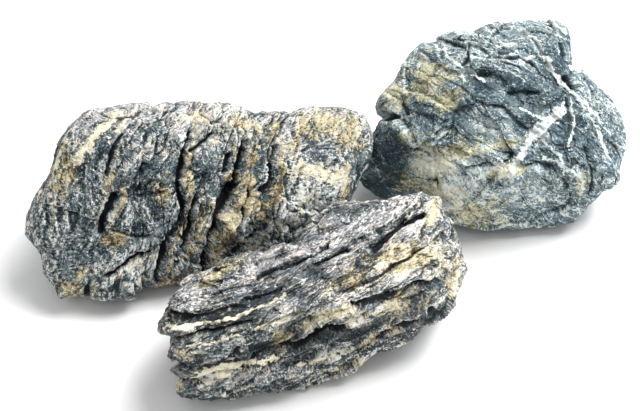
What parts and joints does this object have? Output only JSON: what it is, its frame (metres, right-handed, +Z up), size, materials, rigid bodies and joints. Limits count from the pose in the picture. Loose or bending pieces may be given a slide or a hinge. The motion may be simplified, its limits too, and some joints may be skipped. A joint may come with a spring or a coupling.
{
  "type": "aquascaping stone group",
  "caption": "Three loose pieces of dark seiryu stone lying together as a small rock setting: one blocky and fissured, one rounded and veined, one low and layered.",
  "frame": {"origin": "on the ground, under the middle of the group's bounding box", "axes": "+Z up, +X to the right along the group, +Y to the rear, so that the broad faces look towards -Y and up"},
  "size_m": [0.3621, 0.2561, 0.1096],
  "materials": {
    "fissured_rock": "dark blue-grey limestone, weathered into deep fissures with ochre crust in them and a paler, pinkish-grey top",
    "veined_rock": "slate-grey limestone with a net of thin white calcite veins and patches of ochre crust",
    "layered_rock": "thinly layered limestone, cream and near-black layers in turn, with a grey pebbled top"
  },
  "bodies": {
    "root": {"fissured_stone": "fissured_rock", "veined_stone": "veined_rock", "layered_stone": "layered_rock"}
  },
  "joints": []
}
